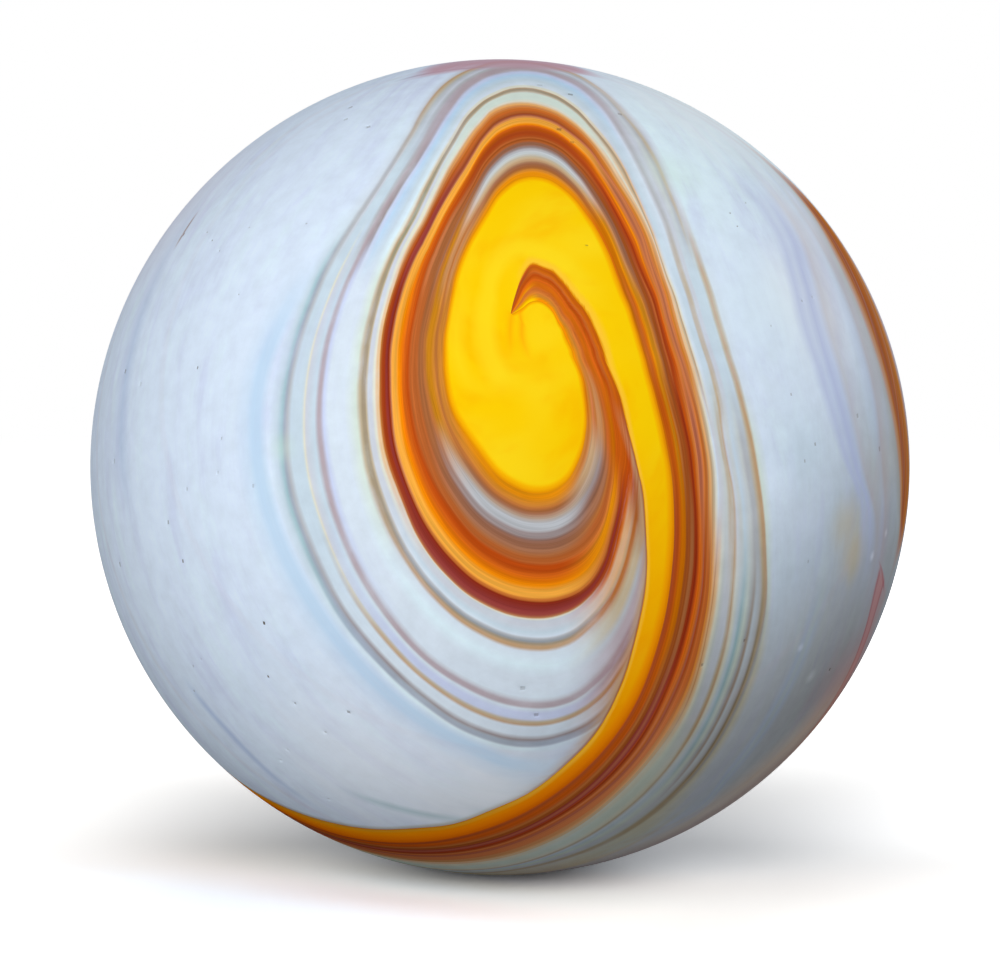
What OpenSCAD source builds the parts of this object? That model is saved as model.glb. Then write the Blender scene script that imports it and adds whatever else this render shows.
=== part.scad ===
// Glass marble: one solid ball of swirled glass.
// Millimetres. +Z is up, the origin is the ball's centre, and the swirl's eye faces -Y.

/* [Ball] */
// Diameter of the ball
ball_d = 16; // [12:0.5:25]

/* [Hidden] */
$fn = 96;

module marble() {
    color("lightsteelblue") sphere(d = ball_d);
}

marble();
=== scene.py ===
import math

import bpy
from mathutils import Matrix, Vector
from mathutils.kdtree import KDTree


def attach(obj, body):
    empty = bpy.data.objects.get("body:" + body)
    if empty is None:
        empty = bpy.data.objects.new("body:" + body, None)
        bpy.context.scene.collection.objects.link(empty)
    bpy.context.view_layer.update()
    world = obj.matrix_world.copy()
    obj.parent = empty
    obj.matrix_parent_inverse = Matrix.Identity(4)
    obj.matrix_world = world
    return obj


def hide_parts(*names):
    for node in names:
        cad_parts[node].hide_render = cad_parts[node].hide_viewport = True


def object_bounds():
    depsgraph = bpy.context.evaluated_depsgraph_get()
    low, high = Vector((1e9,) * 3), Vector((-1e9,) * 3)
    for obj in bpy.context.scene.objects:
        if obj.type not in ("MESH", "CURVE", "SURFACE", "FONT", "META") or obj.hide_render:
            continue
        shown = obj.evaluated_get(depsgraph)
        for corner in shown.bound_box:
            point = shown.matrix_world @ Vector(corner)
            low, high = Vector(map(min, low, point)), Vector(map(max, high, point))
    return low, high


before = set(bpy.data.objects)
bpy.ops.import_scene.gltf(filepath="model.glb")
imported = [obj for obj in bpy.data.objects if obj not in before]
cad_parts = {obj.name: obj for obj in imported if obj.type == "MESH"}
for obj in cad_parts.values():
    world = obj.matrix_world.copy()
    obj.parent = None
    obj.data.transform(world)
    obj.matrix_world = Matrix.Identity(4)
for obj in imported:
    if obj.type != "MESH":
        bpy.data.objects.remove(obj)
cad_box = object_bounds()

# Metres. +Z is up, the origin is the ball's centre and the swirl's eye faces -Y.


# ---------------------------------------------------------------- the marble's body
# A play marble: a gob of hot glass that was cut from the stream, rolled round between turning
# rollers and cooled. It is solid glass, a trifle out of round, with small pits from use.
BALL_R = (cad_box[1][0] - cad_box[0][0]) / 2
CAMERA_UP = math.radians(10)
CAMERA_SIDE = Vector((0, -math.cos(CAMERA_UP), math.sin(CAMERA_UP)))
CAMERA_TOP = Vector((0, math.sin(CAMERA_UP), math.cos(CAMERA_UP)))
EYE = Vector((0.109, -0.882, 0.459)).normalized()
EYE_UP = (CAMERA_TOP - EYE * EYE.dot(CAMERA_TOP)).normalized()
EYE_RIGHT = EYE_UP.cross(EYE).normalized()
PANES = 120
SQUASH = (1.003, 0.999)
PIT_RIM = 0.000022
PIT_DEEP = 0.000012
# Winding angles run clockwise round the eye from this far below its right side, in degrees.
WINDING_START = 45
# Where each pit lies, as a winding angle round the eye and an angle from it, and how dark its floor
# is.
PITS = (
    (95, 59, 1.0), (89, 66, 0.9), (83, 67, 0.5), (75, 63, 0.6), (77, 69, 0.3), (111, 66, 0.8),
    (118, 65, 0.5), (140, 54, 0.7), (153, 48, 0.6), (164, 59, 0.6), (162, 56, 0.4), (166, 62, 0.4),
    (166, 69, 0.5), (144, 73, 0.5), (125, 50, 0.4), (120, 52, 0.3), (171, 42, 0.4), (119, 84, 0.5),
    (97, 83, 0.5), (81, 81, 0.4), (81, 77, 0.3), (132, 77, 0.3), (120, 59, 0.3), (114, 47, 0.3),
    (141, 67, 0.2), (167, 52, 0.3), (99, 78, 0.3), (99, 75, 0.2), (73, 84, 0.3),
    (-81, 39, 0.6), (-85, 40, 0.5), (-85, 45, 0.3), (-62, 44, 0.3), (-63, 47, 0.2),
    (-125, 50, 0.5), (-128, 39, 0.5), (-124, 36, 0.3), (-164, 50, 0.4), (-163, 59, 0.4),
    (-165, 56, 0.3), (-116, 47, 0.3), (-131, 52, 0.2),
    (-55, 36, 0.4), (-40, 39, 0.5), (-32, 45, 0.5), (-27, 44, 0.4), (-7, 75, 0.7), (-41, 54, 0.3),
    (6, 54, 0.4), (15, 53, 0.4), (45, 54, 0.4), (48, 50, 0.3), (-38, 62, 0.3), (-12, 53, 0.3),
    (-111, 17, 0.5))


def on_ball(winding, from_eye):
    """The direction at a winding angle round the eye and an angle from it, in degrees."""
    turn = math.radians(-WINDING_START - winding)
    away = math.radians(from_eye)
    side = EYE_RIGHT * math.cos(turn) + EYE_UP * math.sin(turn)
    return EYE * math.cos(away) + side * math.sin(away)


def pit_place(pit):
    """Where a pit lies on the ball."""
    return on_ball(pit[0], pit[1]) * BALL_R


bpy.ops.object.select_all(action="DESELECT")
bpy.ops.mesh.primitive_cube_add(size=BALL_R)
marble = bpy.context.object
marble.name = "marble_glass"
bpy.ops.object.mode_set(mode="EDIT")
bpy.ops.mesh.subdivide(number_cuts=PANES - 1)
bpy.ops.object.mode_set(mode="OBJECT")
cast = marble.modifiers.new("round", "CAST")
cast.cast_type = "SPHERE"
cast.factor = 1.0
cast.use_radius_as_size = True
cast.radius = BALL_R
bpy.ops.object.modifier_apply(modifier=cast.name)
for corner in marble.data.vertices:
    corner.co = (corner.co.x * SQUASH[0], corner.co.y, corner.co.z * SQUASH[1])

# Each pit is one pane of the ball, drawn in and pressed down; its floor is coloured dark brown.
panes = KDTree(len(marble.data.polygons))
for pane in marble.data.polygons:
    panes.insert(pane.center, pane.index)
panes.balance()
bpy.ops.object.mode_set(mode="EDIT")
bpy.ops.mesh.select_mode(type="FACE")
bpy.ops.mesh.select_all(action="DESELECT")
bpy.ops.object.mode_set(mode="OBJECT")
for pit in PITS:
    number = panes.find(pit_place(pit))[1]
    marble.data.polygons[number].select = True
bpy.ops.object.mode_set(mode="EDIT")
bpy.ops.mesh.inset(thickness=PIT_RIM, depth=-PIT_DEEP, use_individual=True)
bpy.ops.mesh.inset(thickness=PIT_RIM / 2, depth=-PIT_DEEP / 2, use_individual=True)
bpy.ops.object.mode_set(mode="OBJECT")
bpy.ops.object.shade_smooth()
dirt = marble.data.attributes.new("dirt", "FLOAT", "POINT")
for pane in marble.data.polygons:
    if pane.select:
        nearest = min(PITS, key=lambda pit: (pit_place(pit) - pane.center).length)
        for number in pane.vertices:
            dirt.data[number].value = nearest[2]

# The unwrapped glass: the swirl's side is a large disc and the other side a small one. Each
# disc is the place of its middle and its reach, as shares of the sheet.
FRONT_DISC = (0.42, 0.40)
BACK_DISC = (0.90, 0.09)
uv_map = marble.data.uv_layers.active
uv_map.name = "OFBake"
for face in marble.data.polygons:
    front = face.center.dot(CAMERA_SIDE) > 0
    axis = CAMERA_SIDE if front else -CAMERA_SIDE
    middle, reach = FRONT_DISC if front else BACK_DISC
    for corner in face.loop_indices:
        spot = marble.data.vertices[marble.data.loops[corner].vertex_index].co.normalized()
        away = spot.angle(axis) / (math.pi / 2) * reach
        flat = Vector((spot.x, -spot.dot(CAMERA_TOP)))
        flat = flat.normalized() * away if flat.length > 0 else flat
        uv_map.data[corner].uv = (middle + flat.x, middle + flat.y)


# ---------------------------------------------------------------- the glass
# Opal glass with a ribbon of yellow, orange and oxblood glass folded into it. The gob's cut end
# curled the ribbon into a hook, and round it the colours lie in rings that wind out as a tail.
class Field:
    """One shader socket, written in sums. New nodes go into Field.tree."""

    tree = None

    def __init__(self, socket):
        self.socket = socket

    @classmethod
    def node(cls, kind, settings, sockets, output=0):
        """Adds a node: its settings first, then the values or links of its sockets."""
        made = cls.tree.nodes.new(kind)
        for name, value in settings.items():
            if name == "stops":
                ramp = made.color_ramp
                while len(ramp.elements) < len(value):
                    ramp.elements.new(1)
                for element, (place, colour) in zip(ramp.elements, value):
                    element.position = place
                    element.color = colour
            elif name == "points":
                curve = made.mapping.curves[0]
                while len(curve.points) < len(value):
                    curve.points.new(1, 1)
                for point, place in zip(curve.points, value):
                    point.location = place
                made.mapping.update()
            else:
                setattr(made, name, value)
        for name, value in sockets.items():
            if isinstance(value, Field):
                cls.tree.links.new(value.socket, made.inputs[name])
            else:
                made.inputs[name].default_value = value
        return cls(made.outputs[output])

    def maths(self, operation, *others):
        terms = dict(enumerate((self,) + others))
        return Field.node("ShaderNodeMath", {"operation": operation}, terms)

    def __add__(self, other):
        return self.maths("ADD", other)

    def __sub__(self, other):
        return self.maths("SUBTRACT", other)

    def __mul__(self, other):
        return self.maths("MULTIPLY", other)

    def __truediv__(self, other):
        return self.maths("DIVIDE", other)

    def __gt__(self, other):
        return self.maths("GREATER_THAN", other)

    def __rsub__(self, other):
        return Field.node("ShaderNodeMath", {"operation": "SUBTRACT"}, {0: other, 1: self})

    __radd__ = __add__
    __rmul__ = __mul__


def rise(value, start, end, low=0.0, high=1.0, kind="SMOOTHSTEP"):
    """Goes from low to high while the value goes from start to end."""
    sockets = {"Value": value, "From Min": start, "From Max": end, "To Min": low, "To Max": high}
    return Field.node("ShaderNodeMapRange", {"interpolation_type": kind}, sockets)


def mix(amount, first, second):
    """Blends two colours."""
    return Field.node("ShaderNodeMix", {"data_type": "RGBA"}, {0: amount, 6: first, 7: second}, 2)


def tint(amount, first, second):
    """Multiplies a colour by another, by an amount."""
    settings = {"data_type": "RGBA", "blend_type": "MULTIPLY"}
    return Field.node("ShaderNodeMix", settings, {0: amount, 6: first, 7: second}, 2)


def vector(x, y, z):
    return Field.node("ShaderNodeCombineXYZ", {}, {0: x, 1: y, 2: z})


def grey(level):
    return vector(level, level, level)


def noise(place, scale, detail=2.0, roughness=0.5):
    sockets = {"Vector": place, "Scale": scale, "Detail": detail, "Roughness": roughness}
    return Field.node("ShaderNodeTexNoise", {}, sockets)


# A ring is the angle from the eye, in degrees, at each winding angle: one turn is 360 degrees,
# and the ribbon winds out from -180, round the hook, to 540 on the back, past the tail's end.
RINGS = {
    "yolk": (
        (-180, 6.3), (-165, 6.1), (-150, 6.5), (-140, 6.4), (-130, 5.8), (-120, 5), (-105, 3.9),
        (-90, 3.5), (-60, 3.2), (-30, 4), (-15, 4.9), (0, 7.3), (10, 9.5), (20, 13.2),
        (30, 17.2), (38, 19.9), (48, 21.1), (60, 20.5),
        (80, 17.7), (100, 16.1), (120, 14.6), (140, 14.0), (160, 14.4), (180, 16.6),
        (195, 19.3), (205, 21.9), (215, 25.7), (222, 27.5), (228, 27.5), (235, 25.6),
        (245, 21.7), (260, 17.3), (275, 14.6), (290, 13.6), (305, 13.4), (320, 14.2),
        (335, 16.2), (350, 20.6), (360, 26), (370, 33.6), (380, 44.4), (390, 57.5),
        (400, 69), (410, 79.5), (420, 88.9), (435, 101), (460, 116), (500, 134), (540, 148)),
    "white": (
        (-60, 5.6), (-30, 6.4), (-15, 7.4), (0, 10.6), (10, 14.4), (20, 19.3), (30, 23.4),
        (38, 25.8), (48, 26.8), (60, 26), (80, 22.5), (100, 19.2), (120, 17.5), (140, 16.8),
        (160, 17), (180, 19), (195, 22.3), (205, 26), (215, 31.3), (220, 33.5), (225, 34.4),
        (230, 33.6), (238, 29.5), (245, 25.7), (255, 21.8), (265, 18.9), (275, 17.2),
        (290, 16.1), (305, 15.9), (320, 16.8), (335, 19.2), (350, 24.6), (360, 30.1),
        (370, 38.4), (380, 49.4), (390, 62), (400, 73.8), (410, 84), (420, 92.5),
        (435, 104), (460, 118.5), (500, 136), (540, 149.5)),
    "orange": (
        (-60, 6.1), (-30, 7.6), (-15, 9.4), (0, 12.4), (10, 16.5), (20, 21.8), (30, 27.6),
        (38, 30), (48, 30.7), (60, 29.6), (80, 25.5), (100, 21.8), (120, 19.5), (140, 18.4),
        (160, 18.7), (180, 20.7), (195, 23.9), (205, 27.3), (215, 33), (220, 35.2),
        (225, 36.1), (230, 35.4), (238, 31.5), (245, 27.7), (255, 23.3), (265, 20.5),
        (275, 18.6), (290, 17.5), (305, 17.1), (320, 18), (335, 20.6), (350, 26),
        (360, 31.7), (370, 40.3), (380, 51.3), (390, 64), (400, 75.3), (410, 85.3),
        (420, 93.8), (435, 105.2), (460, 119.5), (500, 137), (540, 150)),
    "oxblood": (
        (-60, 7), (-30, 8.6), (-15, 11), (0, 14.6), (10, 19), (15, 21), (20, 24.3),
        (25, 27.7), (30, 31.8), (35, 34.7), (40, 35.9), (48, 36.3), (60, 35.1), (70, 32.9),
        (80, 30.4), (90, 27.9), (100, 25.9), (120, 22.7), (140, 21.6), (150, 21.5),
        (160, 21.8), (180, 23.5), (190, 25.5), (205, 30.6), (210, 33.4), (215, 37.1),
        (220, 40.3), (225, 41.6), (230, 40.7), (235, 38), (240, 35), (245, 31.4),
        (255, 26.7), (265, 23.5), (275, 20.8), (290, 19), (305, 18.5), (320, 19.8),
        (335, 22.8), (350, 28.4), (360, 33.8), (370, 42.9), (380, 54.3), (390, 66.9),
        (400, 77.5), (410, 87.6), (420, 95.6), (435, 106.6), (460, 120.6), (500, 138),
        (540, 150.5)),
    "flame": (
        (-60, 7.6), (-30, 9.3), (-15, 12), (0, 16.2), (10, 20.8), (15, 23), (20, 26),
        (25, 29.7), (30, 33.8), (35, 36.5), (40, 38.1), (48, 38.8), (60, 37.5), (70, 35.2),
        (80, 32.5), (90, 29.6), (100, 27.6), (120, 24.3), (130, 23.4), (145, 22.9),
        (160, 23.1), (170, 23.9), (180, 25.1), (190, 27), (205, 33.5), (215, 40.4),
        (220, 44.2), (225, 45.4), (230, 44.3), (235, 41.4), (240, 37.5), (245, 33.8),
        (250, 30.6), (260, 26.7), (270, 23.8), (280, 21.6), (290, 20.5), (305, 20),
        (320, 21.3), (335, 24.5), (350, 30.5), (360, 36.2), (370, 45.8), (380, 58.4),
        (390, 70.2), (400, 82.2), (410, 92), (420, 99.5), (435, 109.5), (460, 122.5),
        (500, 139), (540, 151)),
    "tan": (
        (-60, 8.2), (-30, 10), (-15, 13), (0, 18), (10, 23.5), (20, 30.2), (25, 34.3),
        (30, 37.9), (35, 40.6), (40, 42.7), (47, 43.3), (60, 41.5), (70, 38.9), (80, 36),
        (100, 30.7), (120, 27), (145, 25), (160, 25.2), (180, 27), (190, 29.3), (205, 36.3),
        (215, 44.6), (220, 48.3), (226, 50.9), (230, 49.9), (235, 46.2), (240, 40.9),
        (245, 36.7), (250, 33), (255, 29.8), (265, 25.6), (280, 22), (292, 21), (305, 20.8),
        (320, 22.2), (335, 25.5), (350, 31.7), (360, 37.6), (370, 46.8), (380, 59.8),
        (390, 71.5), (400, 83.5), (410, 93.5), (420, 101), (435, 111), (460, 124),
        (500, 140), (540, 152)),
    "pink": (
        (-60, 9.5), (-30, 11.5), (-15, 15), (0, 22), (10, 29), (20, 37), (30, 46.3),
        (35, 49.7), (40, 52.1), (46, 52.7), (60, 50.3), (80, 43.8), (100, 37.9), (120, 33.8),
        (140, 31.1), (160, 30.1), (170, 30.5), (180, 31.9), (190, 34.3), (200, 38.1),
        (210, 45.5), (217, 53), (223, 58), (228, 59.5), (233, 57), (240, 49), (247, 40.2),
        (257, 32.5), (268, 27.9), (280, 24.6), (295, 23), (308, 23), (320, 24.5),
        (330, 26.5), (340, 29.2), (350, 34.8), (360, 42.2), (370, 53.2), (380, 65.7),
        (390, 77.6), (400, 89), (410, 99), (420, 107), (435, 116), (460, 128), (500, 143),
        (540, 154)),
    "smoke": (
        (-60, 11), (-30, 13.5), (-15, 17), (0, 25), (10, 33), (20, 42), (30, 51.5),
        (35, 56.3), (40, 58.4), (46, 59.4), (55, 58.1), (65, 54.7), (75, 51.3), (85, 48.4),
        (95, 45.4), (110, 42), (130, 37.7), (150, 34.8), (160, 34.4), (170, 34.5),
        (180, 35.3), (190, 37.7), (200, 42.5), (205, 46.7), (215, 57.2), (220, 62),
        (226, 66.5), (233, 62.5), (240, 54.6), (245, 48.8), (250, 44.6), (255, 40.4),
        (265, 33.8), (280, 28.7), (295, 26.8), (308, 26.8), (320, 28.5), (335, 33.3),
        (350, 42.3), (360, 52.5), (370, 63.4), (380, 75), (390, 85.7), (400, 94),
        (410, 103), (420, 111), (435, 120), (460, 131), (500, 145), (540, 156)),
}
# Where one turn of the ribbon lies on the next: the outer side of the hook, then the tail's
# inner side, which goes on round the back.
FOLD = (
    (-180, 6.5), (-170, 7.4), (-160, 8.7), (-152, 10.2), (-146, 11.4), (-142, 12.1),
    (-139, 12.1), (-134, 11.6), (-127, 11.1), (-120, 10.1), (-110, 8.9), (-100, 8.1),
    (-90, 7.8), (-75, 7.5), (-60, 7.5), (-40, 8.2), (-25, 9.4), (-10, 12.8), (0, 16.3),
    (7, 21), (10, 24.1), (15, 29.3), (20, 36.3), (25, 43), (30, 51), (35, 58.5), (40, 64.2),
    (45, 69.8), (50, 74.3), (55, 79.5), (60, 83.2), (65, 87.5), (75, 95), (100, 113),
    (140, 133), (180, 148))

GLASS = {
    "yolk": "facc07", "straw": "fbd920", "saffron": "fcc43a", "amber": "f9bd03",
    "honey": "e08b0e", "marigold": "fd8f08", "tangerine": "ef8d08", "orange": "e8790a",
    "apricot": "f3aa42", "ginger": "d27a34", "flame": "d4631a", "copper": "cd6712",
    "bronze": "c26a08", "caramel": "c37f1a", "ochre": "ca8232", "toffee": "b87038",
    "paprika": "c05712", "brick": "bb4b12", "sienna": "b9632f", "salmon": "cb7a4c",
    "clay": "aa6048", "nut": "a4643a", "chestnut": "9b4f20", "russet": "a9471c",
    "rust": "983616", "crimson": "892a14", "oxblood": "8e3835", "garnet": "9c4540",
    "umber": "92624a", "cocoa": "8e6656", "dove": "9a8d8d", "putty": "b09a88",
    "ash": "b8bcc2", "cloud": "cdd3de", "mist": "c9dbe8", "milk": "d9e6f3",
    "base": "dcebfd", "ice": "e0f4fe", "sky": "bddbf5", "lavender": "cad4f1",
    "pistachio": "d8e6dd", "ivory": "e3e2d0", "buff": "e6c49a", "wheat": "c3a17c",
    "sand": "c4b59a", "khaki": "a5967e", "pewter": "98a0a8", "dusk": "a3adbd",
    "rose": "b6a8b0", "mauve": "c99fae", "iris": "b5c1e8", "tan": "d98f55",
    "rim_brown": "b25b2a", "rim_dark": "a44e28", "cherry": "ac6068", "blush": "bc888a",
    "terracotta": "c5662a", "fawn": "c58c5c", "peach": "e6a862", "biscuit": "dcac7c",
    "mocha": "a57052", "pearl": "ccd3d4", "heather": "a6868a",
    "cornflower": "93aedb", "plum": "8a80a6", "frost_and_floor_light": "f2f8ff", "lilac": "dfe0f2",
    "stain": "c6b78e", "teal": "a5c6cf", "mint": "d3eedd", "fringe": "9a9478",
}


def linear(code):
    """A glass's colour as the shader takes it, from its screen code."""
    parts = [int(code[i:i + 2], 16) / 255 for i in (0, 2, 4)]
    return tuple(p / 12.92 if p < 0.04045 else ((p + 0.055) / 1.055) ** 2.4 for p in parts) + (1,)


def glass(name):
    return linear(GLASS[name])


# The glasses across the hook, from the yolk at 0 to the fold at 1: its body, then its tip.
HOOK = (
    (0, "marigold"), (0.07, "honey"), (0.15, "ochre"), (0.23, "ginger"), (0.31, "terracotta"),
    (0.4, "copper"), (0.5, "copper"), (0.57, "flame"), (0.65, "paprika"), (0.71, "brick"),
    (0.78, "terracotta"), (0.86, "copper"), (0.93, "paprika"), (1.0, "bronze"))
TIP = (
    (0, "yolk"), (0.08, "amber"), (0.18, "honey"), (0.28, "ginger"), (0.36, "terracotta"),
    (0.44, "honey"), (0.52, "orange"), (0.6, "flame"), (0.68, "brick"), (0.77, "paprika"),
    (0.86, "rim_dark"), (0.94, "brick"), (1.0, "ginger"))
# The glasses from the yolk's edge outwards, at eleven stretches of the ribbon. Places 0 to 4
# run from the yolk to the flame's outer edge, and 4 to 8.25 through the veils to plain opal.
BUNDLE = {
    "neck": (
        (0, "honey"), (0.1, "bronze"), (0.22, "ochre"), (0.38, "salmon"), (0.52, "toffee"),
        (0.62, "fawn"), (0.8, "fawn"), (0.95, "toffee"), (1.1, "sienna"), (1.35, "terracotta"),
        (1.7, "copper"), (2.0, "bronze"), (2.35, "paprika"), (2.6, "paprika"),
        (3.1, "paprika"), (3.4, "paprika"), (3.8, "brick"), (4.0, "brick")),
    "bend": (
        (0, "ochre"), (0.15, "toffee"), (0.24, "fawn"), (0.32, "wheat"), (0.45, "wheat"),
        (0.55, "putty"), (0.65, "putty"), (0.75, "dove"), (0.92, "cocoa"), (1.02, "umber"),
        (1.15, "mocha"), (1.3, "mocha"), (1.45, "nut"), (1.55, "toffee"), (1.7, "sienna"),
        (1.9, "sienna"), (2.1, "ginger"), (2.35, "honey"), (2.6, "honey"), (2.9, "ginger"),
        (3.1, "sienna"), (3.25, "rim_dark"), (3.35, "rust"), (3.5, "oxblood"),
        (3.7, "rust"), (3.9, "russet"), (4.0, "russet")),
    "low": (
        (0, "honey"), (0.12, "honey"), (0.28, "ochre"), (0.36, "toffee"), (0.43, "nut"),
        (0.5, "mocha"), (0.62, "putty"), (0.74, "ash"), (0.88, "ash"), (0.97, "dove"),
        (1.12, "dove"), (1.24, "cocoa"), (1.38, "umber"), (1.5, "umber"), (1.6, "mocha"),
        (1.76, "nut"), (1.88, "sienna"), (2.02, "sienna"), (2.1, "brick"), (2.22, "brick"),
        (2.35, "flame"), (2.5, "orange"), (2.62, "tangerine"), (2.74, "apricot"),
        (2.9, "apricot"), (2.96, "ginger"), (3.02, "sienna"), (3.1, "crimson"),
        (3.55, "oxblood"), (3.8, "garnet"), (3.92, "clay"), (4.0, "fawn")),
    "left": (
        (0, "honey"), (0.12, "ochre"), (0.25, "ochre"), (0.4, "toffee"), (0.52, "ochre"),
        (0.65, "caramel"), (0.82, "caramel"), (0.98, "toffee"), (1.15, "nut"), (1.4, "nut"),
        (1.6, "sienna"), (1.85, "sienna"), (2.05, "sienna"), (2.18, "brick"),
        (2.35, "flame"), (2.5, "orange"), (2.6, "tangerine"), (2.72, "apricot"),
        (2.88, "apricot"), (2.94, "tan"), (2.98, "clay"), (3.04, "russet"), (3.12, "crimson"),
        (3.3, "oxblood"), (3.5, "rust"), (3.75, "russet"), (3.95, "toffee"), (4.0, "ochre")),
    "high": (
        (0, "honey"), (0.12, "ochre"), (0.3, "fawn"), (0.45, "toffee"), (0.55, "fawn"),
        (0.68, "fawn"), (0.85, "caramel"), (1.1, "toffee"), (1.22, "mocha"), (1.4, "nut"),
        (1.6, "nut"), (1.85, "nut"), (2.05, "salmon"), (2.14, "sienna"), (2.22, "brick"),
        (2.4, "flame"), (2.5, "orange"), (2.58, "apricot"), (2.7, "apricot"),
        (2.85, "apricot"), (2.92, "tan"), (2.96, "clay"), (3.0, "garnet"), (3.1, "oxblood"),
        (3.25, "garnet"), (3.5, "russet"), (3.7, "sienna"), (3.9, "fawn"), (4.0, "biscuit")),
    "top": (
        (0, "honey"), (0.1, "honey"), (0.2, "ochre"), (0.3, "nut"), (0.4, "mocha"),
        (0.5, "wheat"), (0.6, "sand"), (0.7, "pearl"), (0.8, "ash"), (0.9, "dove"),
        (1.0, "umber"), (1.25, "umber"), (1.5, "sienna"), (1.7, "chestnut"),
        (1.95, "sienna"), (2.1, "russet"), (2.25, "russet"), (2.36, "paprika"),
        (2.5, "flame"), (2.6, "tangerine"), (2.68, "apricot"), (2.86, "apricot"),
        (2.92, "tan"), (2.97, "salmon"), (3.04, "clay"), (3.14, "rim_dark"), (3.26, "sienna"),
        (3.42, "terracotta"), (3.58, "ginger"), (3.72, "tan"), (3.86, "peach"), (4.0, "buff")),
    "ridge": (
        (0, "copper"), (0.2, "bronze"), (0.35, "bronze"), (0.5, "honey"), (0.6, "caramel"),
        (0.7, "ochre"), (0.8, "fawn"), (0.9, "mocha"), (1.0, "umber"), (1.2, "umber"),
        (1.4, "chestnut"), (1.6, "chestnut"), (1.7, "rim_dark"), (1.85, "rim_dark"),
        (2.0, "russet"), (2.1, "rust"), (2.2, "brick"), (2.3, "flame"), (2.4, "copper"),
        (2.5, "tangerine"), (2.6, "ginger"), (2.7, "salmon"), (2.8, "clay"), (2.92, "salmon"),
        (3.1, "salmon"), (3.25, "ginger"), (3.45, "ochre"), (3.62, "peach"),
        (3.8, "biscuit"), (4.0, "buff")),
    "right": (
        (0, "honey"), (0.1, "bronze"), (0.25, "terracotta"), (0.45, "copper"), (0.58, "honey"),
        (0.7, "caramel"), (0.82, "caramel"), (0.9, "ochre"), (1.0, "toffee"),
        (1.12, "nut"), (1.3, "chestnut"), (1.5, "chestnut"), (1.7, "rim_dark"),
        (1.88, "sienna"), (1.98, "russet"), (2.1, "rust"), (2.2, "russet"), (2.35, "brick"),
        (2.5, "flame"), (2.65, "ginger"), (2.78, "ginger"), (2.88, "salmon"), (3.0, "salmon"),
        (3.15, "clay"), (3.3, "salmon"), (3.4, "salmon"), (3.55, "ginger"), (3.7, "ochre"),
        (3.85, "tan"), (4.0, "peach")),
    "foot": (
        (0, "honey"), (0.08, "bronze"), (0.2, "paprika"), (0.38, "paprika"), (0.48, "bronze"),
        (0.6, "caramel"), (0.7, "bronze"), (0.8, "toffee"), (0.88, "chestnut"),
        (1.0, "chestnut"), (1.2, "chestnut"), (1.6, "russet"), (1.74, "rust"),
        (1.84, "rust"), (1.95, "crimson"), (2.02, "russet"), (2.1, "brick"), (2.2, "paprika"),
        (2.3, "terracotta"), (2.42, "ginger"), (2.55, "salmon"), (2.66, "clay"), (2.82, "clay"),
        (2.95, "salmon"), (3.1, "ginger"), (3.25, "sienna"), (3.38, "toffee"),
        (3.48, "fawn"), (3.6, "peach"), (3.75, "biscuit"), (3.88, "wheat"), (4.0, "sand")),
    "tail": (
        (0, "rim_dark"), (0.2, "russet"), (0.35, "paprika"), (0.48, "bronze"),
        (0.58, "bronze"), (0.7, "bronze"), (0.8, "chestnut"), (0.9, "chestnut"),
        (1.0, "chestnut"), (1.2, "nut"), (1.5, "nut"), (1.7, "rim_dark"), (1.82, "rust"),
        (1.92, "rust"), (2.02, "crimson"), (2.15, "rust"), (2.25, "russet"), (2.36, "brick"),
        (2.48, "flame"), (2.62, "copper"), (2.78, "terracotta"), (2.9, "sienna"),
        (3.0, "clay"), (3.12, "russet"), (3.35, "sienna"), (3.52, "terracotta"),
        (3.64, "sienna"), (3.74, "sienna"), (3.84, "ochre"), (4.0, "tan")),
    "run": (
        (0, "flame"), (0.12, "rim_dark"), (0.35, "paprika"), (0.5, "paprika"),
        (0.62, "rim_brown"), (0.72, "toffee"), (0.85, "chestnut"), (0.95, "chestnut"),
        (1.15, "oxblood"), (1.5, "clay"), (1.9, "garnet"), (2.1, "russet"), (2.2, "rust"),
        (2.4, "rim_dark"), (2.52, "sienna"), (2.66, "salmon"), (2.85, "sienna"),
        (3.0, "clay"), (3.12, "clay"), (3.25, "salmon"),
        (3.4, "salmon"), (3.55, "salmon"), (3.68, "fawn"), (3.8, "fawn"), (4.0, "biscuit")),
}
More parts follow.
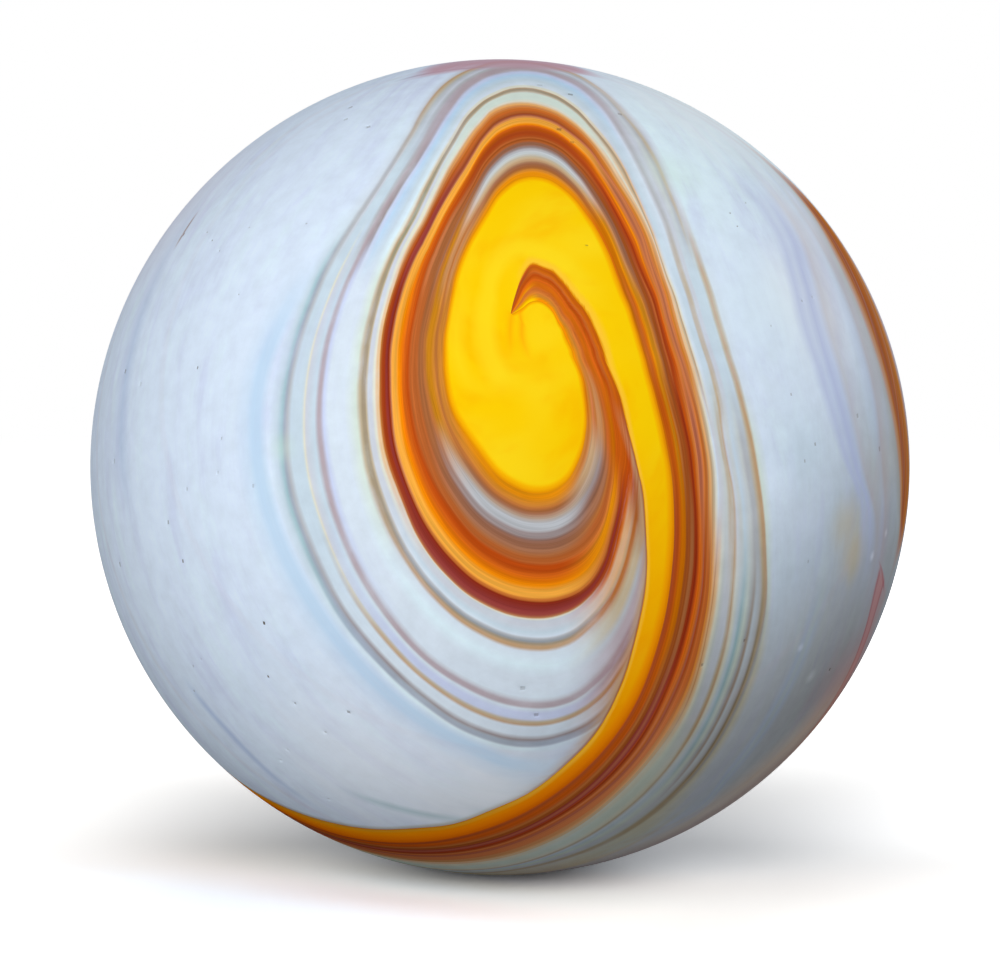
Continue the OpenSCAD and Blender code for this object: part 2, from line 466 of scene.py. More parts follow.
VEIL = {
    "neck": (
        (4.0, "brick"), (4.25, "paprika"), (4.5, "rim_dark"), (4.75, "rim_dark"),
        (4.95, "chestnut"), (8.25, "chestnut")),
    "bend": (
        (4.0, "russet"), (4.12, "paprika"), (4.22, "ginger"), (4.34, "biscuit"),
        (4.6, "biscuit"), (4.78, "wheat"), (4.88, "toffee"), (5.0, "toffee"), (5.1, "wheat"),
        (5.2, "sand"), (5.35, "sand"), (5.5, "ash"), (5.65, "rose"), (5.8, "rose"),
        (5.92, "heather"), (6.05, "heather"), (6.2, "mocha"), (6.35, "fawn"), (6.5, "toffee"),
        (6.65, "fawn"), (8.25, "fawn")),
    "low": (
        (4.0, "fawn"), (4.04, "ivory"), (4.1, "cloud"), (4.3, "cloud"), (4.5, "mist"),
        (4.64, "milk"), (4.72, "ash"), (4.8, "pewter"), (4.88, "khaki"), (4.96, "wheat"),
        (5.02, "wheat"), (5.08, "milk"), (5.3, "ice"), (5.5, "milk"), (5.86, "milk"),
        (5.92, "cloud"), (5.98, "rose"), (6.05, "rose"), (6.11, "milk"), (6.22, "lavender"),
        (6.38, "lavender"), (6.45, "sand"), (6.52, "wheat"), (6.58, "milk"),
        (6.8, "milk"), (6.92, "dove"), (7.0, "dusk"), (7.08, "dusk"), (7.14, "ice"),
        (7.28, "base"), (8.1, "base")),
    "left": (
        (4.0, "ochre"), (4.06, "buff"), (4.16, "buff"), (4.28, "ivory"), (4.45, "cloud"),
        (4.64, "cloud"), (4.74, "sand"), (4.82, "khaki"), (5.0, "khaki"), (5.06, "sand"),
        (5.14, "pistachio"), (5.4, "milk"), (5.78, "milk"), (5.9, "lavender"), (5.98, "rose"),
        (6.04, "rose"), (6.14, "mist"), (6.38, "cloud"), (6.44, "ivory"), (6.5, "mist"),
        (6.8, "mist"), (6.92, "ash"), (7.0, "dusk"), (7.06, "teal"), (7.16, "mist"),
        (7.32, "base"), (7.9, "base")),
    "high": (
        (4.0, "biscuit"), (4.08, "buff"), (4.17, "ivory"), (4.35, "ivory"), (4.5, "cloud"),
        (4.62, "cloud"), (4.72, "sand"), (4.8, "fringe"), (4.94, "fringe"), (5.02, "wheat"),
        (5.09, "ivory"), (5.2, "ice"), (5.4, "mist"), (5.65, "sky"), (5.8, "lavender"),
        (5.88, "dove"), (6.04, "rose"), (6.18, "ash"), (6.32, "mist"), (6.7, "mist"),
        (6.82, "cloud"), (6.88, "ash"), (7.0, "ash"), (7.08, "milk"), (7.3, "base"),
        (8.0, "base")),
    "top": (
        (4.0, "buff"), (4.08, "ivory"), (4.25, "pistachio"), (4.6, "pistachio"),
        (4.7, "sand"), (4.78, "khaki"), (4.85, "khaki"), (4.92, "wheat"), (4.97, "ivory"),
        (5.04, "ivory"), (5.12, "milk"), (5.35, "mist"), (5.6, "sky"), (5.8, "lavender"),
        (5.95, "rose"), (6.2, "rose"), (6.38, "ash"), (6.5, "cloud"), (6.7, "ash"),
        (6.86, "sand"), (6.98, "wheat"), (7.05, "cloud"), (7.2, "base"), (8.0, "base")),
    "ridge": (
        (4.0, "buff"), (4.2, "buff"), (4.35, "ivory"), (4.55, "buff"), (4.72, "sand"),
        (4.82, "wheat"), (4.92, "khaki"), (4.98, "wheat"), (5.05, "buff"), (5.14, "cloud"),
        (5.3, "mist"), (5.8, "milk"), (5.92, "cloud"), (6.05, "ash"), (6.25, "cloud"),
        (6.5, "pearl"), (6.62, "ash"), (6.74, "sand"), (6.86, "cloud"), (7.0, "milk"),
        (7.15, "ice"), (8.0, "ice")),
    "right": (
        (4.0, "peach"), (4.12, "buff"), (4.5, "buff"), (4.75, "sand"), (4.9, "wheat"),
        (5.0, "wheat"), (5.08, "ivory"), (5.25, "milk"), (5.5, "mist"), (5.8, "mist"),
        (5.95, "sand"), (6.1, "sand"), (6.2, "cloud"), (6.3, "cloud"), (6.4, "mist"),
        (6.78, "mist"), (6.88, "sand"), (6.98, "wheat"), (7.04, "sand"), (7.1, "milk"),
        (7.3, "base"), (8.0, "base")),
    "foot": (
        (4.0, "sand"), (4.15, "sand"), (4.4, "ivory"), (4.8, "milk"), (5.1, "cloud"),
        (5.5, "pearl"), (5.72, "sand"), (5.92, "sand"), (6.0, "wheat"), (6.07, "cloud"),
        (6.2, "pearl"), (6.3, "mist"), (6.5, "pearl"), (6.62, "ash"), (6.74, "ash"),
        (6.86, "sand"), (6.94, "wheat"), (7.0, "wheat"), (7.06, "pistachio"), (7.3, "base"),
        (7.7, "base")),
    "tail": (
        (4.0, "tan"), (4.15, "peach"), (4.6, "biscuit"), (4.86, "fawn"), (5.0, "biscuit"),
        (5.1, "buff"), (5.22, "ivory"), (5.38, "pearl"), (5.55, "cloud"), (5.75, "cloud"),
        (5.88, "sand"), (5.97, "wheat"), (6.06, "ivory"), (6.2, "mist"), (6.3, "teal"),
        (6.42, "pistachio"), (6.52, "ash"), (6.6, "putty"), (6.68, "milk"), (6.8, "cloud"),
        (6.88, "khaki"), (6.94, "sand"), (7.0, "ash"), (7.12, "ivory"),
        (7.4, "base"), (8.0, "base")),
    "run": (
        (4.0, "buff"), (4.6, "buff"), (4.9, "ivory"), (5.1, "ivory"), (5.3, "pistachio"),
        (5.6, "pistachio"), (5.85, "ivory"), (5.97, "sand"), (6.1, "milk"), (6.2, "mist"),
        (6.4, "pistachio"), (6.6, "cloud"), (6.75, "pearl"), (6.86, "sand"),
        (6.98, "sand"), (7.12, "ivory"), (7.5, "ivory"), (8.0, "ivory"), (8.25, "base")),
}
# Each stretch of the ribbon and where it takes over from the one before it, in degrees.
STRETCHES = (
    ("neck", None), ("bend", (11, 23)), ("low", (27, 42)), ("left", (68, 104)),
    ("high", (155, 180)), ("top", (190, 215)), ("ridge", (234, 252)), ("right", (262, 290)),
    ("foot", (318, 343)), ("tail", (352, 368)), ("run", (376, 388)))
# Streaks of other glass laid over the opal. Each has its line round the eye, the glasses across
# it with how thickly they lie, and the winding angles where it comes in and goes out.
STREAKS = (
    (((-180, 60), (-95, 61), (-80, 57.5), (-60, 57), (-48, 59), (-38, 62), (-30, 67), (-20, 73),
      (0, 80), (180, 80)),
     ((-4, "iris", 0), (-1, "iris", 0.25), (0.6, "rose", 0.5), (1.8, "rose", 0.35), (4, "rose", 0)),
     (-110, -50, -30, -10)),
    (((-180, 50), (-78, 49), (-66, 46), (-56, 45), (-48, 46.5), (-39, 50), (-33, 54), (-27, 62),
      (-18, 68), (0, 76), (180, 76)),
     ((-4, "iris", 0), (-2, "iris", 0.6), (-0.6, "iris", 0.45), (0.8, "iris", 0.75),
      (2.4, "iris", 0.45), (4, "rose", 0.4), (9, "rose", 0)),
     (-100, -66, -32, -12)),
    (((-180, 72), (-25, 72), (-23.2, 72.8), (-21, 73.9), (-15.4, 79.6), (-10.7, 84.8),
      (0, 92), (180, 92)),
     ((-0.9, "cherry", 0), (0, "cherry", 0.8), (0.8, "blush", 0.85), (3.2, "blush", 0.85),
      (4.2, "cherry", 0.75), (5, "blush", 0.4), (8, "blush", 0.3), (12, "blush", 0)),
     (-24, -22.6, -8, 4)),
    (((-180, 70), (-23.6, 72), (-22.6, 78), (-22, 80), (180, 80)),
     ((-2.5, "cherry", 0), (0, "cherry", 0.7), (2.5, "cherry", 0)),
     (-24, -23.5, -22.8, -22.4)),
    (((-180, 60), (47, 63.8), (54, 61.6), (70.6, 56.3), (86, 51.6), (102, 48), (118, 45),
      (134, 42), (146, 39.2), (156, 37.5), (180, 36)),
     ((-2, "sky", 0), (-0.6, "sky", 0.75), (0.6, "sky", 0.75), (1.6, "sky", 0.35), (4, "sky", 0)),
     (36, 52, 138, 166)),
    (((-180, 86), (-20, 84), (-6, 86), (6, 87), (14, 90), (22, 93), (34, 98), (60, 105),
      (180, 110)),
     ((-7, "buff", 0), (0, "buff", 0.4), (5, "fawn", 0.45), (12, "fawn", 0.4), (19, "fawn", 0)),
     (-18, 0, 36, 60)),
    (((-180, 57), (-20, 57), (-10, 60), (0, 67), (8, 74), (14, 80), (20, 88), (180, 88)),
     ((-2.5, "cornflower", 0), (-0.8, "cornflower", 0.28), (0.4, "teal", 0.2),
      (1.4, "cornflower", 0.25), (3, "cornflower", 0)),
     (-16, -4, 14, 30)),
    (((-180, 82.8), (60, 91), (79, 87.5), (90, 84.2), (97, 83.2), (105, 82), (180, 80)),
     ((-1.2, "cornflower", 0), (0, "cornflower", 0.5), (1.4, "cornflower", 0)),
     (70, 84, 94, 101)),
    (((-180, 77.5), (50, 77.6), (64, 78.7), (75, 79.5), (180, 80)),
     ((-1.2, "teal", 0), (0, "teal", 0.6), (1.4, "teal", 0)),
     (50, 58, 64, 74)),
    (((-180, 72), (100, 76), (130, 74), (150, 72), (180, 70)),
     ((-3, "cornflower", 0), (0, "cornflower", 0.35), (1.4, "iris", 0.3), (4, "iris", 0)),
     (118, 135, 150, 176)),
    (((-180, 68.8), (160, 69.4), (180, 68.8)),
     ((-0.5, "cocoa", 0), (0, "cocoa", 0.8), (0.5, "cocoa", 0)),
     (163, 166, 168, 171)),
    (((-180, 62.6), (-152, 62.8), (-136, 61), (180, 62)),
     ((-0.7, "dusk", 0), (0, "plum", 0.7), (0.8, "dusk", 0)),
     (-155, -148, -141, -136)),
)
# Streaks that also narrow to a point where they come in and go out.
POINTED_STREAKS = (
    (((-180, 64), (-90, 64), (-80, 63.5), (-70, 61.5), (-60, 62), (-50, 65), (-45, 67.5),
      (-40, 70.5), (-35, 74), (-28, 79), (180, 79)),
     ((-8, "pearl", 0), (-3, "khaki", 0.28), (-1.4, "khaki", 0.45), (-0.2, "fawn", 0.8),
      (0.8, "fawn", 0.95), (1.8, "toffee", 1), (2.8, "clay", 1), (3.8, "nut", 1),
      (4.8, "sienna", 1), (6.2, "toffee", 1), (7.6, "toffee", 1), (9.5, "ochre", 1),
      (15, "sienna", 0)),
     (-100, -63, -42, -24)),
    (((-180, 61), (180, 61)),
     ((-2, "mauve", 0), (0.6, "mauve", 0.75), (4, "mauve", 0.95), (9, "mauve", 0.8),
      (17, "mauve", 0)),
     (-153, -140, -130, -118)),
)
# Soft patches: the winding angle and the angle from the eye, the reach, the glass, how thick.
PATCHES = (
    # The two large frost patches at the bottom of the ball, at winding angles 68 and 51, are
    # painted light from the paper under the ball.
    ((68, 72), 24, "frost_and_floor_light", 0.5), ((51, 71), 14, "frost_and_floor_light", 0.7), ((-62, 45), 13, "frost_and_floor_light", 0.7),
    ((-76, 55), 12, "frost_and_floor_light", 0.5), ((-104, 64), 24, "frost_and_floor_light", 0.6), ((172, 80), 22, "lilac", 0.5),
    ((-23, 57), 6, "stain", 0.45), ((-36, 63), 9, "stain", 0.25), ((-20, 62), 5, "stain", 0.5),
    ((-9, 84), 13, "blush", 0.45),
    ((-60, 36), 16, "ice", 0.5), ((-30, 42), 10, "teal", 0.22), ((-100, 38), 7, "mint", 0.3),
    ((118, 40.5), 3, "mint", 0.3), ((-23, 67.6), 1.1, "frost_and_floor_light", 0.5), ((-28, 70), 0.9, "frost_and_floor_light", 0.5),
    ((-3, 63.6), 1, "frost_and_floor_light", 0.35), ((-3, 71.4), 1.6, "frost_and_floor_light", 0.2),
)
# How the opal darkens toward the middle of its smoky side at the lower right, which is long round
# the eye: partly smoky grey glass and partly painted shade, where less light falls.
SMOKE_AND_SHADE_CENTRE = (-4, 76)
SMOKE_AND_SHADE_REACH = 37
SMOKE_AND_SHADE_LONG = 0.56
SMOKE_AND_SHADE = ((0, "aca59d"), (0.35, "c4c0ba"), (0.65, "dcdedd"), (1, "ffffff"))
# Faint wisps in the yolk: orange ones that run on from the hook's tip, then paler ones.
WISPS = (
    (((-180, 6.3), (110, 5.2), (136, 4.8), (161, 5.3), (172, 5.8), (180, 6.3)),
     ((-1.1, "amber", 0), (0, "marigold", 0.45), (1.1, "amber", 0)), (100, 165, 180, 181)),
    (((-180, 4.3), (-168, 5.9), (-150, 7), (60, 3.4), (88, 3), (120, 2.8), (160, 3.5), (180, 4.3)),
     ((-1.1, "amber", 0), (0, "marigold", 0.5), (1.1, "amber", 0)), (60, 170, 180, 181)),
    (((-180, 4.3), (-168, 5.9), (-150, 7), (180, 4.3)),
     ((-1.1, "amber", 0), (0, "marigold", 0.5), (1.1, "amber", 0)), (-181, -180, -166, -150)),
    (((-180, 8.5), (90, 7.6), (125, 7.8), (150, 8.4), (180, 10.4)),
     ((-2, "straw", 0), (-0.4, "straw", 0.8), (0.8, "straw", 0.7), (2.4, "straw", 0)),
     (76, 104, 180, 181)),
    (((-180, 10.4), (-165, 13), (-150, 15), (-140, 14.6), (-120, 12.6), (-100, 10.6), (180, 10)),
     ((-2, "straw", 0), (-0.4, "straw", 0.8), (0.8, "straw", 0.7), (2.4, "straw", 0)),
     (-181, -180, -120, -90)),
    (((-180, 12), (100, 12), (125, 12.2), (150, 12.6), (180, 14)),
     ((-1.6, "straw", 0), (0, "straw", 0.6), (1.6, "straw", 0)), (96, 125, 150, 178)),
)
# How far the orange glow reaches in from the yolk's edge, in degrees.
GLOW = (
    (-180, 0.6), (-30, 0.8), (0, 1.2), (45, 1.4), (80, 1.3), (135, 0.7), (180, 0.8), (225, 1.1),
    (255, 1.3), (300, 0.8), (345, 1.4), (372, 2.6), (400, 4), (540, 4))
# How the ribbon is laid: turns in degrees, and ends and wavers in places across its width.
FULL_TURN = 360
HALF_TURN = 180
STREAK_SPAN = 40
BUNDLE_END = 4
VEIL_END = 8.25
DEGREES_OUTSIDE = 8
FLOW_OUTSIDE = 30
FLOW_INSIDE = 60
WAVER = 0.08
HOOK_WAVER = 0.12
RUN_OUT = (470, 525)
RUN_OUT_SLANT = 5
PLAIN_OPAL = (6.9, 7.4)
HOOK_TIP = (-138, -150)
HOOK_ENDS = (8, -22)
YOLK_TWIST = 9
RIPE_YOLK = (350, 408)


def turn_curve(points, first, turned):
    """A ring's angle from the eye over one turn, in half turns."""
    inside = [p for p in points if first <= p[0] <= first + FULL_TURN]
    places = [((w - first) / FULL_TURN, angle / HALF_TURN) for w, angle in inside]
    return Field.node("ShaderNodeFloatCurve", {"points": places}, {"Value": turned})


def ramp(stops, where):
    """Colours that blend from one to the next as a value rises."""
    return Field.node("ShaderNodeValToRGB", {"stops": stops}, {"Fac": where})


glass_material = bpy.data.materials.new("swirled_glass")
glass_material.use_nodes = True
Field.tree = glass_material.node_tree
shader = glass_material.node_tree.nodes["Principled BSDF"]

# Place on the ball as seen from the eye: the winding angle in degrees, and the angle away
# from the eye in half turns.
to_eye = Matrix((EYE_RIGHT, EYE_UP, EYE)).to_euler()
own = Field.node("ShaderNodeTexCoord", {}, {}, "Object")
seen = Field.node("ShaderNodeMapping", {}, {"Vector": own, "Rotation": to_eye})
eye_x = Field.node("ShaderNodeSeparateXYZ", {}, {"Vector": seen}, "X")
eye_y = Field.node("ShaderNodeSeparateXYZ", {}, {"Vector": seen}, "Y")
eye_z = Field.node("ShaderNodeSeparateXYZ", {}, {"Vector": seen}, "Z")
from_eye = (eye_x * eye_x + eye_y * eye_y).maths("SQRT")
away = from_eye.maths("ARCTAN2", eye_z) * (1 / math.pi)
angle = eye_y.maths("ARCTAN2", eye_x) * (-HALF_TURN / math.pi) - WINDING_START
winding = angle.maths("WRAP", HALF_TURN, -HALF_TURN)
part = winding / FULL_TURN + 0.5

# Which turn of the ribbon it is on, and how far across the ribbon's width.
fold = turn_curve(FOLD, -HALF_TURN, part)
second = away > fold
length = winding + second * FULL_TURN


def along(points):
    """A ring on whichever turn of the ribbon it is."""
    inner = turn_curve(points, -HALF_TURN, part)
    outer = turn_curve(points, HALF_TURN, part)
    return inner + (outer - inner) * second


rings = [along(points) for points in RINGS.values()]
outside = VEIL_END - len(rings) + 1
last = rings[-1] + outside * DEGREES_OUTSIDE / HALF_TURN
width = rise(away, rings[-1], last, 0, outside, "LINEAR")
for inner, outer in zip(rings, rings[1:]):
    width = width + rise(away, inner, outer, 0, 1, "LINEAR")

# Fine streaks that follow the ribbon.
around_x = eye_x / from_eye
around_y = eye_y / from_eye
flow = width + (away - last).maths("MAXIMUM", 0) * FLOW_OUTSIDE
flow = flow + (away - rings[0]).maths("MINIMUM", 0) * FLOW_INSIDE
drift = noise(vector(around_x, around_y, flow * 2), scale=1.5, detail=2, roughness=0.5)
width = width + (drift - 0.5) * WAVER
fine = noise(vector(around_x, around_y, flow * 5), scale=1.2, detail=3, roughness=0.65)
finer = noise(vector(around_x, around_y, flow * 16), scale=1.5, detail=2, roughness=0.6)


def by_stretch(recipes, start, end):
    """The glasses across the ribbon, each stretch blended into the next along its length."""
    where = (width - start) / (end - start)
    blend = None
    for stretch, span in STRETCHES:
        strands = recipes[stretch]
        stops = [((place - start) / (end - start), glass(name)) for place, name in strands]
        strand = ramp(stops, where)
        blend = strand if blend is None else mix(rise(length, *span), blend, strand)
    return blend


bundle = by_stretch(BUNDLE, 0, BUNDLE_END)
veil = by_stretch(VEIL, BUNDLE_END, VEIL_END)

# The opal is cloudy, and darker at one side, partly from smoky glass and partly from painted shade.
# The tail's strands give out on the back.
run_out = rise(length + width * RUN_OUT_SLANT, *RUN_OUT)
veil = mix(run_out, veil, glass("base"))
plain = rise(width, *PLAIN_OPAL) * 0.6 + 0.4
cloud = noise(vector(around_x, around_y, flow * 0.55), scale=2.6, detail=5, roughness=0.6)
haze = noise(vector(around_y, flow * 0.4, around_x), scale=3.1, detail=5, roughness=0.6)
grain = noise(own, scale=2600, detail=3, roughness=0.6)
veil = mix(rise(cloud, 0.46, 0.72, 0, 0.5) * plain, veil, glass("lavender"))
veil = mix(rise(haze, 0.5, 0.72, 0, 0.45) * plain, veil, glass("ice"))
veil = tint(1.0, veil, grey(rise(grain, 0.25, 0.75, 0.95, 1.05, "LINEAR")))


def distance_to(spot):
    """The straight distance to a place on the ball, in ball radii."""
    sockets = {0: own, 1: on_ball(*spot) * BALL_R}
    gap = Field.node("ShaderNodeVectorMath", {"operation": "DISTANCE"}, sockets, "Value")
    return gap / BALL_R


# The opal darkened toward the lower right: partly smoky grey glass, partly painted shade.
smoke_and_shade_stops = [(place, linear(code)) for place, code in SMOKE_AND_SHADE]
smoke_and_shade_round = (winding - SMOKE_AND_SHADE_CENTRE[0]) * SMOKE_AND_SHADE_LONG
smoke_and_shade_out = away * HALF_TURN - SMOKE_AND_SHADE_CENTRE[1]
smoke = (smoke_and_shade_round * smoke_and_shade_round + smoke_and_shade_out * smoke_and_shade_out).maths("SQRT") / SMOKE_AND_SHADE_REACH
smoke = smoke + (cloud - 0.5) * 0.3
veil = tint(1.0, veil, ramp(smoke_and_shade_stops, smoke))
# Patches of other glass; the two large frost ones at the bottom are painted light from the paper
# below.
for spot, reach, name, thick in PATCHES:
    edge = 2 * math.sin(math.radians(reach) / 2)
    spread = distance_to(spot) + (haze - 0.5) * edge * 0.8
    veil = mix(rise(spread, edge, 0, 0, thick), veil, glass(name))


def streak(under, line, strands, amount, breadth=1):
    """Lays a streak of other glass over a colour, along a line round the eye."""
    off_line = away - turn_curve(line, -HALF_TURN, part)
    gap = off_line * (HALF_TURN / STREAK_SPAN) / breadth + 0.5
    stops = [
        (0.5 + offset / STREAK_SPAN, glass(name)[:3] + (thick,))
        for offset, name, thick in strands]
    laid = ramp(stops, gap)
    return mix(Field(laid.socket.node.outputs["Alpha"]) * amount, under, laid)


ragged = rise(fine, 0.25, 0.55, 0.86, 1)
for line, strands, (come, full, fading, gone) in STREAKS:
    shown = rise(winding, come, full) * rise(winding, gone, fading) * ragged
    veil = streak(veil, line, strands, shown)
for line, strands, (come, full, fading, gone) in POINTED_STREAKS:
    breadth = rise(winding, come, full, 0.1, 1) * rise(winding, gone, fading, 0.1, 1)
    shown = rise(breadth, 0.02, 0.6) * ragged
    veil = streak(veil, line, strands, shown, breadth)
colour = mix(width > BUNDLE_END, bundle, veil)
streaked = rise(fine, 0.3, 0.7, 0.88, 1.12) * rise(finer, 0.3, 0.7, 0.93, 1.07)
colour = tint(rise(width, 4.2, 3.8, 0.06, 1), colour, grey(streaked))

# The hook: the ribbon's cut end, curled up inside the yolk.
hook_width = (away - rings[0]) / (fold - rings[0])


def hook_glass(recipe):
    """The glasses across the hook, a little wavy."""
    stops = [(place, glass(name)) for place, name in recipe]
    return ramp(stops, hook_width + (drift - 0.5) * HOOK_WAVER)


hook = mix(rise(winding, *HOOK_TIP), hook_glass(HOOK), hook_glass(TIP))
thread_place = vector(around_x * 0.6, around_y * 0.6, hook_width * 6)
threads = noise(thread_place, scale=1.6, detail=4, roughness=0.7)
hook = tint(1.0, hook, grey(rise(threads, 0.3, 0.7, 0.88, 1.12)))
colour = mix(rise(length, *HOOK_ENDS), colour, hook)

# Brown streaks where the veils run under the tail.
tucked = (fold - away) * HALF_TURN
under = rise(tucked, 3.5, 0.4) * rise(winding, -8, 12) * rise(winding, 52, 30) * (1 - second)
colour = mix(under * rise(fine, 0.3, 0.6, 0.2, 0.8), colour, glass("wheat"))
seam = rise(tucked, 0.9, 0.1) * rise(winding, -20, 5) * rise(winding, 55, 35) * (1 - second)
colour = mix(seam * 0.65, colour, glass("chestnut"))

# The yolk: clear yellow, stirred with paler and deeper yellow, with an orange glow inside
# its edge, a pale lip on the fold and a smoky fringe on the opal beside the tail.
inside = (rings[0] - away) / along(GLOW)
glow_stops = (
    (0, glass("honey")), (0.12, linear("e69405")), (0.35, linear("f3a908")),
    (0.65, linear("f8b806")), (1, glass("yolk")))
yolk = ramp(glow_stops, inside)
whirl = {"Vector": seen, "Angle": away * YOLK_TWIST}
whirled = Field.node("ShaderNodeVectorRotate", {"rotation_type": "Z_AXIS"}, whirl)
stirred = noise(whirled, scale=420, detail=2, roughness=0.5)
stirred_too = noise(whirled, scale=760, detail=3, roughness=0.55)
deep = rise(inside, 0.5, 1.2)
yolk = mix(rise(stirred, 0.48, 0.68, 0, 0.6) * deep, yolk, glass("straw"))
yolk = mix(rise(stirred_too, 0.46, 0.7, 0, 0.8) * deep, yolk, glass("amber"))
for line, strands, (come, full, fading, gone) in WISPS:
    yolk = streak(yolk, line, strands, rise(winding, come, full) * rise(winding, gone, fading))
yolk = mix(rise(length, *RIPE_YOLK), yolk, tint(1.0, yolk, linear("ffc4c0")))
lip = (away - fold) * HALF_TURN + (fine - 0.5) * 0.8
lip_shown = second * rise(winding, -158, -140)
yolk = mix(rise(lip, 1.7, 0.5, 0, 0.8) * lip_shown, yolk, glass("saffron"))
yolk = mix(rise(lip, 0.5, 0.0, 0, 1) * lip_shown, yolk, glass("honey"))
yolk = mix(rise(lip, 2.2, 0.2, 0, 0.55) * rise(winding, 35, 60) * second, yolk, glass("bronze"))
colour = mix(rings[0] > away, colour, yolk)
fringe = rise(tucked, 1.6, 0) * rise(winding, 38, 58) * (1 - second)
colour = mix(fringe * 0.65, colour, glass("fringe"))
colour = mix(run_out, colour, veil)

# The pits' floors coloured dark brown.
pit_dark_marks = Field.node("ShaderNodeAttribute", {"attribute_name": "dirt"}, {}, "Fac")
colour = mix(pit_dark_marks, colour, linear("54463c"))

Field.tree.links.new(colour.socket, shader.inputs["Base Color"])
shader.inputs["Roughness"].default_value = 0.45
shader.inputs["Specular IOR Level"].default_value = 0.0
marble.data.materials.append(glass_material)
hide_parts("marble")
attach(marble, "root")


# ---------------------------------------------------------------- floor, lamps and camera
# White paper under the ball, six soft lamps round it and a white room. The paper is shaded where
# the ball stands on it, with painted shadow beside the ball and at its right front and painted
# light in front of it, and goes to plain white away from it.
FLOOR_BOUNCE = 0.33
FLOOR_WHITE = (1.68, 2.8)
FLOOR_DEEP = 0.06
# Strengths of the painted shadow beside the ball, the painted shade at its right front and the
# painted light in front of it.
SHADE_BESIDE = 0.38
SHADE_RIGHT = 0.09
LIGHT_AHEAD = 0.03
# Painted tints on the paper that cancel the blue and orange light the ball throws into its shadow.
WARM_AGAINST_BLUE_BOUNCE = (1, 0.985, 0.965, 1)
COOL_AGAINST_ORANGE_BOUNCE = (1, 1.05, 1.1, 1)
PLAIN_WHITE = (0.03, 0.05)
ROOM_LIGHT = 0.2


def seen_directly():
    """One for what the camera sees and what shows in reflections, zero for what gives light."""
    path = Field.node("ShaderNodeLightPath", {}, {}, "Is Camera Ray")
    for ray in ("Is Glossy Ray", "Is Transmission Ray"):
        path = path.maths("MAXIMUM", Field.node("ShaderNodeLightPath", {}, {}, ray))
    return path


bpy.ops.object.select_all(action="DESELECT")
bpy.ops.mesh.primitive_plane_add(size=2, location=(0, 0, -BALL_R))
floor = bpy.context.object
floor.name = "floor"
paper = bpy.data.materials.new("floor")
paper.use_nodes = True
Field.tree = paper.node_tree
paper_shader = paper.node_tree.nodes["Principled BSDF"]
paper_shader.inputs["Roughness"].default_value = 1.0
paper_shader.inputs["Specular IOR Level"].default_value = 0.0
floor_place = Field.node("ShaderNodeTexCoord", {}, {}, "Object")
floor_x = Field.node("ShaderNodeSeparateXYZ", {}, {"Vector": floor_place}, "X")
floor_y = Field.node("ShaderNodeSeparateXYZ", {}, {"Vector": floor_place}, "Y")
# Painted shadow on the paper beside the ball, painted light in front of it and painted shade at its
# right front.
beside = rise(floor_x.maths("ABSOLUTE"), 0.0095, 0.003) * rise(floor_y, -0.0015, 0.003)
beside = beside * rise(floor_y, 0.013, 0.007)
ahead = rise(floor_y, 0.001, -0.003)
right_front = rise(floor_x, 0.001, 0.005) * rise(floor_y, 0.004, 0.0)
paper_white = rise(floor_y, 0.0, FLOOR_DEEP, *FLOOR_WHITE) * (1 - beside * SHADE_BESIDE)
paper_white = paper_white * (1 + ahead * LIGHT_AHEAD) * (1 - right_front * SHADE_RIGHT)
# Painted tints that cancel the blue and orange light that the ball throws on the paper.
paper_tint = mix(rise(floor_x, 0.004, -0.004) * ahead, WARM_AGAINST_BLUE_BOUNCE, COOL_AGAINST_ORANGE_BOUNCE)
paper_shown = tint(1.0, paper_tint, grey(paper_white))
paper_colour = mix(seen_directly(), (FLOOR_BOUNCE, FLOOR_BOUNCE, FLOOR_BOUNCE, 1), paper_shown)
Field.tree.links.new(paper_colour.socket, paper_shader.inputs["Base Color"])
floor_far = (floor_x * floor_x + floor_y * floor_y).maths("SQRT")
floor_end = rise(floor_far, *PLAIN_WHITE) * seen_directly()
plain_white = Field.node("ShaderNodeEmission", {}, {"Color": (1, 1, 1, 1), "Strength": 1.0})
paper_lit = Field(paper_shader.outputs["BSDF"])
paper_look = Field.node("ShaderNodeMixShader", {}, {0: floor_end, 1: paper_lit, 2: plain_white})
paper_output = paper.node_tree.nodes["Material Output"]
Field.tree.links.new(paper_look.socket, paper_output.inputs["Surface"])
floor.data.materials.append(paper)

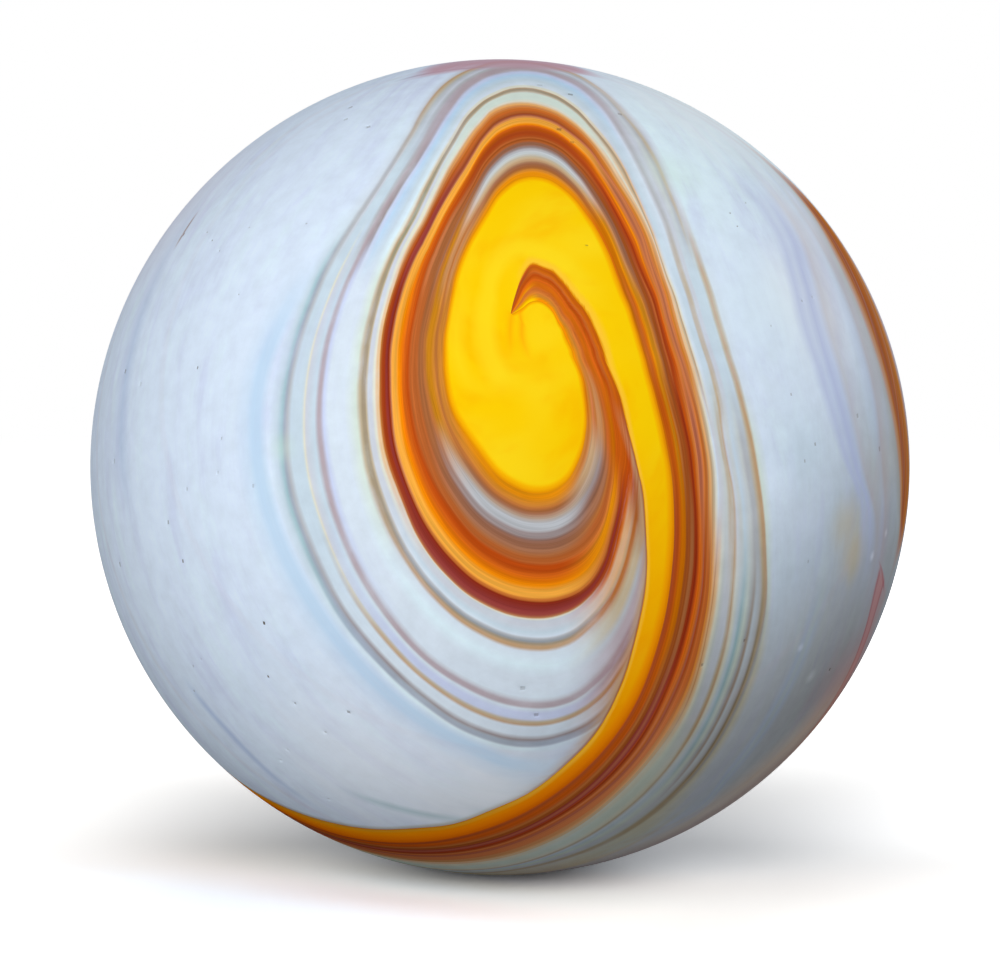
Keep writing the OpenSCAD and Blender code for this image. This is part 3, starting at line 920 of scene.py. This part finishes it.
room = bpy.data.worlds.new("room")
room.use_nodes = True
bpy.context.scene.world = room
Field.tree = room.node_tree
background = room.node_tree.nodes["Background"]
background.inputs["Color"].default_value = (1, 1, 1, 1)
room_seen = seen_directly() * (1 - ROOM_LIGHT) + ROOM_LIGHT
Field.tree.links.new(room_seen.socket, background.inputs["Strength"])

# Round softboxes: turned from the camera's side and raised, in degrees, and power in watts.
SOFTBOXES = (
    (0, 15, 0.120), (-50, 20, 0.087), (100, 30, 0.056), (180, 75, 0.036), (50, 20, 0.022),
    (165, 4, 0.075))
BOX_WIDE = 0.12
BOX_AWAY = 0.15
for number, (turned, raised, power) in enumerate(SOFTBOXES):
    lamp = bpy.data.lights.new("softbox_%d" % number, "AREA")
    lamp.shape = "DISK"
    lamp.size = BOX_WIDE
    lamp.energy = power
    box = bpy.data.objects.new(lamp.name, lamp)
    bpy.context.scene.collection.objects.link(box)
    low = math.cos(math.radians(raised))
    aim = Vector((
        math.sin(math.radians(turned)) * low,
        -math.cos(math.radians(turned)) * low,
        math.sin(math.radians(raised))))
    box.location = aim * BOX_AWAY
    box.visible_camera = False
    box.rotation_mode = "QUATERNION"
    box.rotation_quaternion = (-aim).to_track_quat("-Z", "Y")

# The camera stands well back with a long lens and looks a little down at the ball, which
# fills its share of the frame's width.
CAMERA_AWAY = 0.75
BALL_SHARE = 0.817
BELOW_CENTRE = 0.0335
camera = bpy.data.objects.new("camera", bpy.data.cameras.new("camera"))
bpy.context.scene.collection.objects.link(camera)
bpy.context.scene.camera = camera
camera.location = CAMERA_SIDE * CAMERA_AWAY - CAMERA_TOP * BALL_R * BELOW_CENTRE
camera.rotation_mode = "QUATERNION"
camera.rotation_quaternion = (-CAMERA_SIDE).to_track_quat("-Z", "Y")
ball_slope = BALL_R / math.sqrt(CAMERA_AWAY ** 2 - BALL_R ** 2)
camera.data.sensor_width = 36
camera.data.lens = camera.data.sensor_width / 2 / (ball_slope / BALL_SHARE)

bpy.context.scene.view_settings.view_transform = "Standard"
